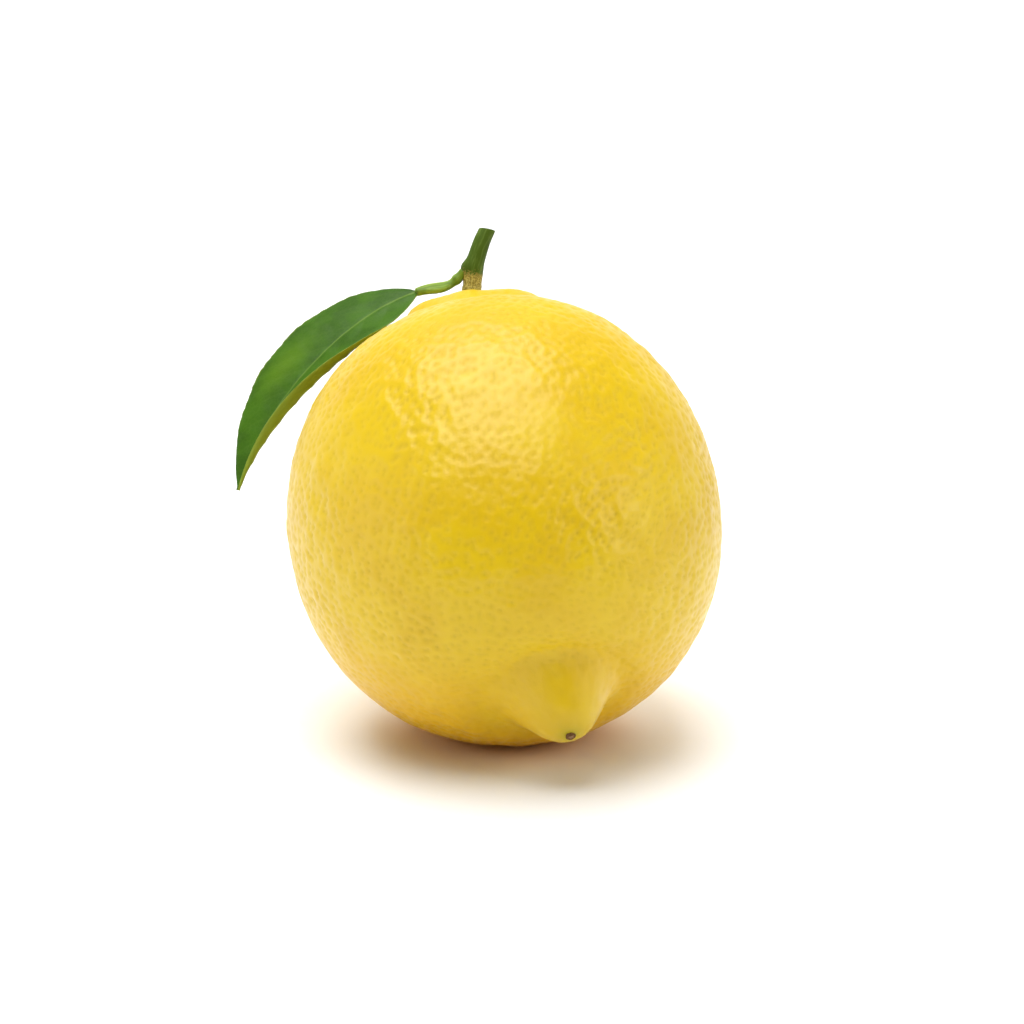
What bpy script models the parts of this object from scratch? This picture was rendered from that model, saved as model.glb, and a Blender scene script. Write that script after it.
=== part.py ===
"""A lemon with its stalk and one leaf, lying on the small flat spot of its own peel.

Units are metres, +Z is up and the origin is the middle of the flat spot that the fruit rests on.
The fruit is one grown piece. The dried style at its tip, the calyx button, the woody stalk, the
leaf stalk and the leaf blade are separate pieces, each at least 0.3 mm clear of the piece it grows on.
"""

import math

import bmesh
import bpy
import numpy as np
from mathutils import Matrix, Vector

MM = 0.001
# Clearance of the calyx and the style from the uneven peel, enough to leave 0.3 mm everywhere.
DISC_GAP = 0.4 * MM

# Fruit. Its own frame has +Z from the middle of the fruit towards the stem end.
FRUIT_RADIUS = 31.9 * MM
STEM_END_LENGTH = 34.3 * MM
BLOSSOM_END_LENGTH = 34.4 * MM
END_FULLNESS = 0.955
BLOSSOM_BEND = 2.0 * MM
FRUIT_PITCH = math.radians(38.0)
FRUIT_HEADING = math.radians(13.0)
FRUIT_CENTRE = Vector((-0.6, 2.1, 31.7)) * MM
FRUIT_RINGS = 54
FRUIT_SEGMENTS = 60
POLE_CROWDING = 0.62

# Furrowed neck at the stem end, bent up over the fruit, with a small level seat on its top.
NECK_HEIGHT = 4.35 * MM
NECK_RADIUS = 11.05 * MM
NECK_WIDER_SIDE = 0.29
NECK_SOFTNESS = 1.28 * MM
NECK_STEEPER_SIDES = 0.5
NECK_FURROWS = 7
NECK_FURROW_DEPTH = 0.06
NECK_BEND_REACH = 14.0 * MM
NECK_BEND = 4.4 * MM
NECK_SIDE = 1.1 * MM
NECK_TILT = math.radians(24.0)
SEAT_RADIUS = 6.2 * MM
SEAT_DEPTH = 1.3 * MM

# Nipple at the blossom end, pushed to one side, with the shallow hollow round its foot.
NIPPLE_HEIGHT = 5.4 * MM
NIPPLE_RADIUS = 6.05 * MM
NIPPLE_BLUNTNESS = 2.8
NIPPLE_SIDE = 2.1 * MM
NIPPLE_UP = 0.5 * MM
NIPPLE_SIDE_REACH = 12.4 * MM
HOLLOW_DEPTH = 1.3 * MM
HOLLOW_RADIUS = 9.6 * MM
HOLLOW_WIDTH = 3.3 * MM

# Dried style on the tip of the nipple.
SCAR_RADIUS = 0.85 * MM
SCAR_HEIGHT = 0.6 * MM
SCAR_SEGMENTS = 12
SCAR_PROFILE = ((0.0, 1.0), (0.6, 0.85), (1.0, 0.5))

# Calyx button under the stalk, with its worn lobes.
CALYX_RADIUS = 3.9 * MM
CALYX_HEIGHT = 1.0 * MM
CALYX_TILT = math.radians(22.0)
CALYX_LOBES = 5
CALYX_LOBE_DEPTH = 0.16
CALYX_SEGMENTS = 40
CALYX_PROFILE = ((0.0, 0.92), (0.35, 1.0), (0.75, 0.86), (1.0, 0.55))

# The routes below are measured from the middle of the fruit, in mm.

# Woody stalk: a short corky foot, a swelling where the leaf stalk grows, and a clean cut top.
STALK_ROUTE = ((-4.9, 27.3, 28.7), (-4.9, 27.6, 33.0), (-2.7, 29.7, 37.2))
STALK_RADIUS = 1.45 * MM
STALK_TAPER = 0.14
STALK_STATIONS = 18
STALK_SIDES = 16
FOOT_FLARE, FOOT_LENGTH = 0.1, 0.12
KNEE_FLARE, KNEE_PLACE, KNEE_LENGTH = 0.14, 0.36, 0.12
# The cut's facing, and the share of the stalk from which its sections turn to face that way.
STALK_CUT = Vector((0.18, 0.35, 0.92)).normalized()
CUT_TURN_START = 0.6

# Leaf stalk, from the stalk's swelling to the joint with the blade.
PETIOLE_ROUTE = ((-7.1, 27.4, 31.2), (-8.3, 26.6, 28.3), (-10.2, 26.2, 29.6), (-12.7, 25.5, 28.8))
PETIOLE_RADIUS = 0.6 * MM
PETIOLE_STATIONS = 16
PETIOLE_SIDES = 12
WING_START = 0.25
WING_FULLNESS = 1.5
WING_WIDENING = 1.6
WING_THICKENING = 0.15

# Leaf blade, along its midrib from the joint to the tip.
MIDRIB_ROUTE = ((-13.1, 25.3, 28.7), (-23.3, 23.1, 26.1), (-36.0, 14.5, 14.5), (-39.7, 8.0, 2.4))
BLADE_HALF_WIDTH = 8.7 * MM
BLADE_THICKNESS = 0.4 * MM
BLADE_STATIONS = 30
BLADE_COLUMNS = 13
BLADE_TIP_WIDTH = 0.05
# Below 1, the blade is at its widest past the middle of the midrib.
BLADE_FULLEST = 0.84
CURL_SAMPLES = 24
MARGIN_THINNESS = 0.2
# Slopes of the two halves where they leave the midrib, and their curl out to the margin. A pair
# of angles is the value at the joint and the value at the tip.
FAR_SLOPE = (math.radians(2.0), math.radians(14.0))
FAR_CURL = (math.radians(-10.0), math.radians(-10.0))
NEAR_SLOPE = (math.radians(-7.0), math.radians(8.0))
NEAR_CURL = (math.radians(15.0), math.radians(150.0))
UPPER_FACE = Vector((-0.49, -0.44, 0.75))


def clear_scene():
    """Remove every object that the file starts with."""
    for item in list(bpy.data.objects):
        bpy.data.objects.remove(item, do_unlink=True)


def make_material(name, colour, roughness):
    """A plain Principled material in one colour."""
    material = bpy.data.materials.new(name)
    material.use_nodes = True
    shader = material.node_tree.nodes["Principled BSDF"]
    shader.inputs["Base Color"].default_value = (*colour, 1.0)
    shader.inputs["Roughness"].default_value = roughness
    shader.inputs["Metallic"].default_value = 0.0
    return material


def add_piece(name, mesh, material, matrix=None):
    """Link a mesh as one named piece and shade it smooth."""
    mesh.materials.append(material)
    mesh.shade_smooth()
    piece = bpy.data.objects.new(name, mesh)
    bpy.context.scene.collection.objects.link(piece)
    if matrix is not None:
        piece.matrix_world = matrix
    return piece


def ring_mesh(name, rings, start, end):
    """A closed skin over rings of points, with one point capping each end."""
    count, segments = rings.shape[:2]
    points = np.vstack([rings.reshape(-1, 3), [start], [end]])
    faces = []
    for i in range(count - 1):
        for j in range(segments):
            k = (j + 1) % segments
            near, far = i * segments, (i + 1) * segments
            faces.append((near + j, near + k, far + k, far + j))
    last = (count - 1) * segments
    for j in range(segments):
        k = (j + 1) % segments
        faces.append((count * segments, k, j))
        faces.append((count * segments + 1, last + j, last + k))
    mesh = bpy.data.meshes.new(name)
    mesh.from_pydata(points.tolist(), [], faces)
    point_faces_out(mesh)
    return mesh


def point_faces_out(mesh):
    """Turn every face of a closed mesh outwards."""
    work = bmesh.new()
    work.from_mesh(mesh)
    bmesh.ops.recalc_face_normals(work, faces=work.faces)
    if work.calc_volume(signed=True) < 0:
        bmesh.ops.reverse_faces(work, faces=work.faces)
    work.to_mesh(mesh)
    work.free()


def fruit_matrix():
    """Place and lean of the fruit's own frame in the world."""
    lean = Matrix.Rotation(FRUIT_HEADING, 4, "Z") @ Matrix.Rotation(FRUIT_PITCH - math.pi / 2, 4, "X")
    return Matrix.Translation(FRUIT_CENTRE) @ lean


def neck_lift(radius, turn):
    """Height of the neck over the body: a furrowed shoulder, sunk a little at the seat."""
    sideways = np.cos(turn)
    wider = NECK_WIDER_SIDE * np.maximum(sideways, 0.0)
    edge = NECK_RADIUS * (1 + NECK_FURROW_DEPTH * np.cos(NECK_FURROWS * turn) + wider)
    softness = NECK_SOFTNESS * (1 - NECK_STEEPER_SIDES * np.abs(sideways))
    shoulder = NECK_HEIGHT / (1 + np.exp((radius - edge) / softness))
    return shoulder - SEAT_DEPTH * np.exp(-((radius / SEAT_RADIUS) ** 6))


def nipple_reach(radius):
    """Reach of the nipple past the body: a blunt dome standing in a shallow ring-shaped hollow."""
    dome = NIPPLE_HEIGHT * np.exp(-((radius / NIPPLE_RADIUS) ** NIPPLE_BLUNTNESS))
    return dome - HOLLOW_DEPTH * np.exp(-(((radius - HOLLOW_RADIUS) / HOLLOW_WIDTH) ** 2))


def fruit_surface(polar, turn):
    """Points of the peel, by angle from the stem end and turn about the fruit's axis."""
    radius = FRUIT_RADIUS * np.abs(np.sin(polar)) ** END_FULLNESS
    level = np.sign(np.cos(polar)) * np.abs(np.cos(polar)) ** END_FULLNESS
    x, y = radius * np.cos(turn), radius * np.sin(turn)
    bent = np.exp(-((radius / NECK_BEND_REACH) ** 2))
    stem_end = STEM_END_LENGTH * level + neck_lift(radius, turn) + math.tan(NECK_TILT) * y * bent
    blossom_end = BLOSSOM_END_LENGTH * level - nipple_reach(radius)
    pushed = np.exp(-((radius / NIPPLE_SIDE_REACH) ** 2))
    bend = np.where(level > 0, NECK_BEND * bent, BLOSSOM_BEND * level**2 + NIPPLE_UP * pushed)
    side = np.where(level > 0, NECK_SIDE * bent, NIPPLE_SIDE * pushed)
    return np.stack([x + side, y - bend, np.where(level > 0, stem_end, blossom_end)], axis=-1)


def build_fruit(material):
    """The whole fruit, cut level where it rests."""
    step = np.linspace(0.0, 1.0, FRUIT_RINGS + 1)[1:-1]
    polar = math.pi * (step - POLE_CROWDING * np.sin(2 * math.pi * step) / (2 * math.pi))
    turn = np.linspace(0.0, 2 * math.pi, FRUIT_SEGMENTS, endpoint=False)
    rings = fruit_surface(*np.meshgrid(polar, turn, indexing="ij"))
    first, last = rings[0].mean(axis=0), rings[-1].mean(axis=0)
    mesh = ring_mesh("fruit", rings, first, last)
    matrix = fruit_matrix()
    mesh.transform(matrix)
    cut_level(mesh)
    mesh.transform(matrix.inverted())
    return add_piece("fruit", mesh, material, matrix)


def cut_level(mesh):
    """Cut off what lies below the resting level and close the cut with one flat face."""
    work = bmesh.new()
    work.from_mesh(mesh)
    everything = work.verts[:] + work.edges[:] + work.faces[:]
    cut = bmesh.ops.bisect_plane(
        work, geom=everything, plane_co=(0, 0, 0), plane_no=(0, 0, -1), clear_outer=True
    )
    rim = [item for item in cut["geom_cut"] if isinstance(item, bmesh.types.BMEdge)]
    bmesh.ops.contextual_create(work, geom=rim)
    bmesh.ops.recalc_face_normals(work, faces=work.faces)
    work.to_mesh(mesh)
    work.free()


def fruit_end(polar):
    """The point of the peel on the fruit's axis, at one of its ends."""
    ring = fruit_surface(np.full(FRUIT_SEGMENTS, polar), np.linspace(0, 2 * math.pi, FRUIT_SEGMENTS))
    return ring.mean(axis=0)


def build_disc(name, material, seat, outline, height, profile):
    """A low disc over the fruit's seat, its profile a list of (share of height, share of outline)."""
    clear = math.copysign(DISC_GAP, height)
    rings = np.array([seat + outline * wide + [0, 0, clear + height * up] for up, wide in profile])
    mesh = ring_mesh(name, rings, rings[0].mean(axis=0), rings[-1].mean(axis=0))
    return add_piece(name, mesh, material, fruit_matrix())


def build_scar(material):
    """The dried style: a small tapered stub standing on the tip of the nipple."""
    tip = fruit_end(math.pi)
    turn = np.linspace(0.0, 2 * math.pi, SCAR_SEGMENTS, endpoint=False)
    circle = np.stack([np.cos(turn), np.sin(turn), 0 * turn], axis=-1)
    return build_disc("style_scar", material, tip, circle * SCAR_RADIUS, -SCAR_HEIGHT, SCAR_PROFILE)


def build_calyx(material):
    """The calyx button: a low lobed disc sitting on the neck's seat."""
    seat = fruit_end(0.0)
    turn = np.linspace(0.0, 2 * math.pi, CALYX_SEGMENTS, endpoint=False)
    lobe = 1 + CALYX_LOBE_DEPTH * np.cos(CALYX_LOBES * turn)
    x, y = np.cos(turn) * lobe, np.sin(turn) * lobe
    circle = np.stack([x, y, math.tan(CALYX_TILT) * y], axis=-1)
    return build_disc("calyx", material, seat, circle * CALYX_RADIUS, CALYX_HEIGHT, CALYX_PROFILE)


def curve_points(route, count):
    """Points, tangents and share of length along a smooth curve led by its control points."""
    control = np.array(FRUIT_CENTRE) + np.array(route) * MM
    share = np.linspace(0.0, 1.0, count)[:, None]
    degree = len(control) - 1
    points = sum(
        math.comb(degree, i) * share**i * (1 - share) ** (degree - i) * control[i]
        for i in range(degree + 1)
    )
    tangents = np.gradient(points, axis=0)
    tangents /= np.linalg.norm(tangents, axis=1, keepdims=True)
    return points, tangents, share[:, 0]


def tube_rings(points, tangents, wide, tall, sides, upright):
    """Oval rings square to a path, wide across it and tall along its upright direction."""
    upright = upright - tangents * (tangents @ upright)[:, None]
    upright /= np.linalg.norm(upright, axis=1, keepdims=True)
    across = np.cross(tangents, upright)
    turn = np.linspace(0.0, 2 * math.pi, sides, endpoint=False)
    out = across[:, None] * (wide[:, None] * np.cos(turn))[..., None]
    out = out + upright[:, None] * (tall[:, None] * np.sin(turn))[..., None]
    return points[:, None] + out


def turn_to_cut(rings, points, tangents, share):
    """Slide the sections' points along the stalk until the last ones lie in the plane of the cut."""
    cut = np.array(STALK_CUT)
    turned = np.clip((share - CUT_TURN_START) / (1 - CUT_TURN_START), 0.0, 1.0)
    slide = -((rings - points[:, None]) @ cut) / (tangents @ cut)[:, None]
    return rings + tangents[:, None] * (slide * turned[:, None])[..., None]


def build_stalk(material):
    """The woody stalk, from the calyx to its cut end."""
    points, tangents, share = curve_points(STALK_ROUTE, STALK_STATIONS)
    foot = FOOT_FLARE * np.exp(-((share / FOOT_LENGTH) ** 2))
    knee = KNEE_FLARE * np.exp(-(((share - KNEE_PLACE) / KNEE_LENGTH) ** 2))
    radius = STALK_RADIUS * (1 + foot + knee - STALK_TAPER * share)
    rings = tube_rings(points, tangents, radius, radius, STALK_SIDES, np.array([0.0, 1.0, 0.0]))
    rings = turn_to_cut(rings, points, tangents, share)
    mesh = ring_mesh("stem", rings, points[0], points[-1])
    return add_piece("stem", mesh, material)


def build_petiole(material):
    """The leaf stalk: a thin neck widening into narrow wings, pinched at the blade's joint."""
    points, tangents, share = curve_points(PETIOLE_ROUTE, PETIOLE_STATIONS)
    spread = np.clip((share - WING_START) / (1 - WING_START), 0.0, 1.0)
    wing = np.sin(math.pi * spread) ** WING_FULLNESS
    tall = PETIOLE_RADIUS * (1 + WING_THICKENING * wing)
    wide = PETIOLE_RADIUS * (1 + WING_WIDENING * wing)
    rings = tube_rings(points, tangents, wide, tall, PETIOLE_SIDES, np.array([0.0, 0.0, 1.0]))
    mesh = ring_mesh("petiole", rings, points[0], points[-1])
    return add_piece("petiole", mesh, material)


def along_blade(ends, share):
    """A value that changes evenly from the blade's joint to its tip."""
    return ends[0] + (ends[1] - ends[0]) * share


def half_section(width, slope, curl, reach):
    """Across-and-up offsets of half a blade that leaves the midrib at a slope and curls to its edge."""
    share = abs(reach) * (np.arange(CURL_SAMPLES) + 0.5) / CURL_SAMPLES
    slopes = slope[:, None] + curl[:, None] * share**2
    across = width * reach * np.cos(slopes).mean(axis=1)
    up = width * abs(reach) * np.sin(slopes).mean(axis=1)
    return across[:, None], up[:, None]


def build_leaf(material):
    """The leaf blade: a tapered trough along its midrib, its near margin curling up to the tip."""
    points, tangents, share = curve_points(MIDRIB_ROUTE, BLADE_STATIONS)
    up = np.array(UPPER_FACE)
    up = up - tangents * (tangents @ up)[:, None]
    up /= np.linalg.norm(up, axis=1, keepdims=True)
    far = np.cross(tangents, up)
    width = BLADE_HALF_WIDTH * np.maximum(np.sin(math.pi * share**BLADE_FULLEST), BLADE_TIP_WIDTH)
    columns = []
    for reach in np.linspace(-1.0, 1.0, BLADE_COLUMNS):
        slope = along_blade(FAR_SLOPE if reach > 0 else NEAR_SLOPE, share)
        curl = along_blade(FAR_CURL if reach > 0 else NEAR_CURL, share)
        out, lift = half_section(width, slope, curl, reach)
        columns.append(points + far * out + up * lift)
    sheet = np.stack(columns, axis=1)
    normal = np.cross(np.gradient(sheet, axis=0), np.gradient(sheet, axis=1))
    normal /= np.linalg.norm(normal, axis=2, keepdims=True)
    body = 1 - (1 - MARGIN_THINNESS) * np.linspace(-1.0, 1.0, BLADE_COLUMNS) ** 6
    shift = normal * (BLADE_THICKNESS / 2 * body)[None, :, None]
    rings = np.concatenate([sheet + shift, (sheet - shift)[:, ::-1]], axis=1)
    mesh = ring_mesh("leaf_blade", rings, rings[0].mean(axis=0), rings[-1].mean(axis=0))
    return add_piece("leaf_blade", mesh, material)


def main():
    """Build the six pieces of the lemon."""
    clear_scene()
    build_fruit(make_material("peel", (0.80, 0.56, 0.04), 0.38))
    build_scar(make_material("style_scar", (0.10, 0.06, 0.03), 0.8))
    build_calyx(make_material("calyx", (0.24, 0.22, 0.06), 0.8))
    build_stalk(make_material("stem", (0.10, 0.22, 0.04), 0.6))
    build_petiole(make_material("petiole", (0.28, 0.38, 0.06), 0.5))
    build_leaf(make_material("leaf", (0.06, 0.19, 0.02), 0.45))


main()
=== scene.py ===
"""The looks of a lemon with its stalk and one leaf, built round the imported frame.

Everything is in metres, +Z up, with the origin in the middle of the flat spot that the fruit rests
on. Each piece is a fine surface that stands for the plain solid of the same name, in its place.
"""
import logging
import math
from dataclasses import dataclass, field
from enum import Enum
from typing import Any

import bpy
import numpy as np
from mathutils import Matrix, Vector


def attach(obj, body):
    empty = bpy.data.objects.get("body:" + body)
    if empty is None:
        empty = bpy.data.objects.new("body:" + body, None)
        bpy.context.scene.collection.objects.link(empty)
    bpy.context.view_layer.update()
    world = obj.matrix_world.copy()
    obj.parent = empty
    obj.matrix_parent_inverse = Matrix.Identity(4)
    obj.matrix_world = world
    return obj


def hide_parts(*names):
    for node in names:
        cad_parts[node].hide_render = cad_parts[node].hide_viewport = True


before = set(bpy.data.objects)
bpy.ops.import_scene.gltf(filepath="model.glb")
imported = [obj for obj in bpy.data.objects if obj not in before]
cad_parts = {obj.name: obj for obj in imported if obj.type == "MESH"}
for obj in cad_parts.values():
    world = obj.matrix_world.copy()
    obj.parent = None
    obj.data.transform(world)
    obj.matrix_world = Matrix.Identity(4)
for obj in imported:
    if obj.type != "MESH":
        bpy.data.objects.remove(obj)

MM = 0.001
BODY = "root"
# Sockets of the colour form of the Mix node, which shares its names with other forms.
MIX_SHARE, MIX_FIRST, MIX_SECOND, MIX_COLOUR = 0, 6, 7, 2
COLOURS = {"data_type": "RGBA"}
SMOOTH = {"interpolation_type": "SMOOTHSTEP"}

Place = tuple[float, float, float]

log = logging.getLogger("lemon")


# --------------------------------------------------------------------------- shared tools


def linear(colour: str) -> tuple[float, float, float, float]:
    """Turn an sRGB hex colour into the linear colour that a shader reads.

    Args:
        colour: The colour as "#rrggbb".

    Returns:
        Red, green, blue and a full alpha.
    """
    shares = [int(colour[i : i + 2], 16) / 255 for i in (1, 3, 5)]
    toned = [s / 12.92 if s <= 0.04045 else ((s + 0.055) / 1.055) ** 2.4 for s in shares]
    return (*toned, 1.0)


def connect(tree: bpy.types.NodeTree, node: bpy.types.Node, links: dict) -> None:
    """Fill a node's inputs.

    Args:
        tree: The node's tree.
        node: The node.
        links: Input name or number, with the value it holds or the output socket that feeds it.
    """
    for key, value in links.items():
        if isinstance(value, bpy.types.NodeSocket):
            tree.links.new(value, node.inputs[key])
        else:
            node.inputs[key].default_value = value


def add_node(
    tree: bpy.types.NodeTree, kind: str, links: dict | None = None, **settings: Any
) -> bpy.types.Node:
    """Add one node to a tree, with its settings, values and links.

    Args:
        tree: The material's or world's node tree.
        kind: The node's type name, less the word ShaderNode that they all start with.
        links: What fills its inputs, as in connect.
        settings: The node's own settings.

    Returns:
        The new node.
    """
    node = tree.nodes.new(f"ShaderNode{kind}")
    for name, value in settings.items():
        setattr(node, name, value)
    connect(tree, node, links or {})
    return node


def new_material(
    name: str, **sockets: Any
) -> tuple[bpy.types.Material, bpy.types.NodeTree, bpy.types.Node]:
    """Start a material from one Principled shader.

    Args:
        name: The real material and its finish.
        sockets: Plain shader values, with underscores for the spaces in a socket's name.

    Returns:
        The material, its node tree and its shader.
    """
    material = bpy.data.materials.new(name)
    material.use_nodes = True
    tree = material.node_tree
    shader = tree.nodes["Principled BSDF"]
    connect(tree, shader, {key.replace("_", " "): value for key, value in sockets.items()})
    return material, tree, shader


def unit(vectors: np.ndarray) -> np.ndarray:
    """Scale vectors along the last axis to a length of 1."""
    return vectors / np.maximum(np.linalg.norm(vectors, axis=-1, keepdims=True), 1e-12)


def smooth_step(low: float, high: float, value: np.ndarray) -> np.ndarray:
    """Rise from 0 at low to 1 at high as 3t^2 - 2t^3; with low above high it falls."""
    share = np.clip((value - low) / (high - low), 0.0, 1.0)
    return share * share * (3 - 2 * share)


def uneven(points: np.ndarray, size: float, seed: int, waves: int = 26) -> np.ndarray:
    """A smooth uneven field whose swells are about one size wide.

    Formula: the sum of sine waves in seeded random directions, their lengths from 1.3 to 3 sizes,
    divided by the root of half their number, so that most of it lies between -1 and 1.

    Args:
        points: Places, in metres.
        size: Width of a swell, in metres.
        seed: Seed of the directions.
        waves: Number of waves.

    Returns:
        One number for each point.
    """
    random = np.random.default_rng(seed)
    heading = unit(random.normal(size=(waves, 3)))
    pace = 2 * math.pi / (size * random.uniform(1.3, 3.0, waves))
    phase = random.uniform(0.0, 2 * math.pi, waves)
    return np.sin(points @ (heading * pace[:, None]).T + phase).sum(axis=-1) / math.sqrt(waves / 2)


def around(count: int) -> np.ndarray:
    """Even turns round a ring, from 0 to just short of a whole turn."""
    return np.linspace(0.0, 2 * math.pi, count, endpoint=False)


def ring_faces(count: int, segments: int) -> tuple[np.ndarray, np.ndarray]:
    """Faces of a closed skin over rings of points, with one more point capping each end.

    Args:
        count: Number of rings.
        segments: Points in a ring.

    Returns:
        The quads between rings, and the triangles of the two fans.
    """
    ring, spoke = np.meshgrid(np.arange(count - 1) * segments, np.arange(segments), indexing="ij")
    after = (spoke + 1) % segments
    quads = np.stack([ring + spoke, ring + after, ring + segments + after, ring + segments + spoke], axis=-1)
    spoke = np.arange(segments)
    after = (spoke + 1) % segments
    last = (count - 1) * segments
    first_fan = np.stack([np.full(segments, count * segments), after, spoke], axis=-1)
    last_fan = np.stack([np.full(segments, count * segments + 1), last + spoke, last + after], axis=-1)
    return quads.reshape(-1, 4), np.vstack([first_fan, last_fan])


def skin_points(rings: np.ndarray) -> np.ndarray:
    """List the points of a closed skin: its rings, then the middle of the first and last ring."""
    return np.vstack([rings.reshape(-1, rings.shape[-1]), [rings[0].mean(axis=0)], [rings[-1].mean(axis=0)]])


def skin_marks(marks: np.ndarray) -> np.ndarray:
    """List one number for each point of a closed skin, in the order of skin_points."""
    return np.concatenate([marks.reshape(-1), [marks[0].mean()], [marks[-1].mean()]])


def new_piece(name: str, points: np.ndarray, quads: np.ndarray, fans: np.ndarray) -> bpy.types.Object:
    """Make a smooth closed piece that stands for the CAD node of the same name.

    The faces are turned outwards as a whole where the volume they enclose comes out negative. The
    volume is a sixth of the sum of corner . (corner x corner) over the triangles.

    Args:
        name: Name of the node that it stands for.
        points: Its vertices, in metres.
        quads: Its faces of four corners.
        fans: Its faces of three corners.

    Returns:
        The new object.
    """
    corners = np.vstack([quads[:, [0, 1, 2]], quads[:, [0, 2, 3]], fans])
    a, b, c = points[corners[:, 0]], points[corners[:, 1]], points[corners[:, 2]]
    if np.einsum("ij,ij->", a, np.cross(b, c)) < 0:
        quads, fans = quads[:, ::-1], fans[:, ::-1]
    mesh = bpy.data.meshes.new(f"{name}_surface")
    mesh.from_pydata(points.tolist(), [], quads.tolist() + fans.tolist())
    mesh.shade_smooth()
    piece = bpy.data.objects.new(f"{name}_surface", mesh)
    bpy.context.scene.collection.objects.link(piece)
    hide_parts(name)
    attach(piece, BODY)
    return piece


def store(piece: bpy.types.Object, **marks: np.ndarray) -> None:
    """Keep named numbers or vectors on a piece's vertices, for its material to read.

    Args:
        piece: The piece.
        marks: For each name, one number or one vector of three for each vertex.
    """
    for name, values in marks.items():
        kind, key = ("FLOAT_VECTOR", "vector") if values.ndim == 2 else ("FLOAT", "value")
        layer = piece.data.attributes.new(name, kind, "POINT")
        layer.data.foreach_set(key, values.astype(np.float32).ravel())


def read_vectors(items: Any, key: str, count: int) -> np.ndarray:
    """Read one vector for each of a mesh's items, as an array of count rows."""
    values = np.empty(count * 3, np.float32)
    items.foreach_get(key, values)
    return values.reshape(count, 3).astype(float)


def finish_piece(piece: bpy.types.Object, material: bpy.types.Material) -> None:
    """Give a piece its material, and report it.

    Args:
        piece: The piece.
        material: Its material.
    """
    piece.data.materials.append(material)
    triangles = sum(len(face.vertices) - 2 for face in piece.data.polygons)
    log.info("%s: %d triangles, finish %s", piece.name, triangles, material.name)


# --------------------------------------------------------------------------- routes


@dataclass(frozen=True)
class Route:
    """A smooth curve led by control points, measured from the middle of the fruit, in mm."""

    controls: tuple[Place, ...]
    start: Place

    def walk(self, share: np.ndarray) -> tuple[np.ndarray, np.ndarray]:
        """Find the points and directions at shares of the curve.

        Formula: a Bezier curve, the sum of each control point times its Bernstein weight.

        Args:
            share: Shares of the curve, from 0 to 1.

        Returns:
            The points, and the unit directions along the curve.
        """
        control = (np.array(self.start) + np.array(self.controls)) * MM
        degree = len(control) - 1
        t = share[:, None]
        points = sum(
            math.comb(degree, i) * t**i * (1 - t) ** (degree - i) * control[i] for i in range(degree + 1)
        )
        slopes = sum(
            math.comb(degree - 1, i) * t**i * (1 - t) ** (degree - 1 - i) * (control[i + 1] - control[i])
            for i in range(degree)
        )
        return points, unit(slopes)


def cross_axes(direction: np.ndarray, upright: np.ndarray) -> tuple[np.ndarray, np.ndarray]:
    """Find the across and up axes of the sections square to a path.

    Args:
        direction: Unit directions along the path.
        upright: The direction that the sections' up axis keeps nearest to.

    Returns:
        The across axes and the up axes.
    """
    up = unit(upright - direction * (direction @ upright)[:, None])
    return np.cross(direction, up), up


# --------------------------------------------------------------------------- finishes


@dataclass(frozen=True)
class GlandPattern:
    """The oil glands of the rind: hearts spread evenly over the fruit, about one pitch apart."""

    pitch: float = 1.42 * MM
    mean_radius: float = 32 * MM
    scatter: float = 0.24
    bands: int = 160
    seed: int = 7

    def hearts(self) -> tuple[np.ndarray, np.ndarray]:
        """Spread the glands' hearts over a ball.

        Formula: a spiral of even steps in height, each turned on by the golden angle, then moved by
        a random share of a pitch.

        Returns:
            The unit directions from pole to pole, and a random strength for each gland.
        """
        random = np.random.default_rng(self.seed)
        count = int(4 * math.pi * self.mean_radius**2 / (0.9 * self.pitch**2))
        height = 1 - (2 * np.arange(count) + 1) / count
        turn = np.arange(count) * math.pi * (3 - math.sqrt(5))
        ring = np.sqrt(1 - height**2)
        spiral = np.stack([ring * np.cos(turn), ring * np.sin(turn), height], axis=-1)
        moved = unit(spiral + random.normal(size=(count, 3)) * self.scatter * self.pitch / self.mean_radius)
        return moved[np.argsort(-moved[:, 2])], random.uniform(0.55, 1.0, count)

    def hollows(self, directions: np.ndarray) -> tuple[np.ndarray, np.ndarray]:
        """Find how deep each place lies in the hollow of its nearest gland.

        Formula: a bell curve of the distance to the nearest heart, times that gland's strength. The
        places are taken band by band of height, each with the hearts within two pitches of it.

        Args:
            directions: Unit directions from the middle of the fruit.

        Returns:
            The hollows, and the narrow dots at their hearts, from 0 to 1.
        """
        hearts, strength = self.hearts()
        margin = 2 * self.pitch / self.mean_radius
        order = np.argsort(-directions[:, 2])
        hollow = np.zeros(len(directions))
        dot = hollow.copy()
        for part in np.array_split(order, self.bands):
            top, bottom = directions[part[0], 2] + margin, directions[part[-1], 2] - margin
            near = slice(*np.searchsorted(-hearts[:, 2], [-top, -bottom]))
            away = np.sqrt(np.maximum(2 - 2 * directions[part] @ hearts[near].T, 0.0))
            nearest = away.argmin(axis=1)
            distance = away.min(axis=1) * self.mean_radius / self.pitch
            hollow[part] = strength[near][nearest] * np.exp(-((distance / 0.33) ** 2))
            dot[part] = strength[near][nearest] * np.exp(-((distance / 0.2) ** 2))
        return hollow, dot


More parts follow.
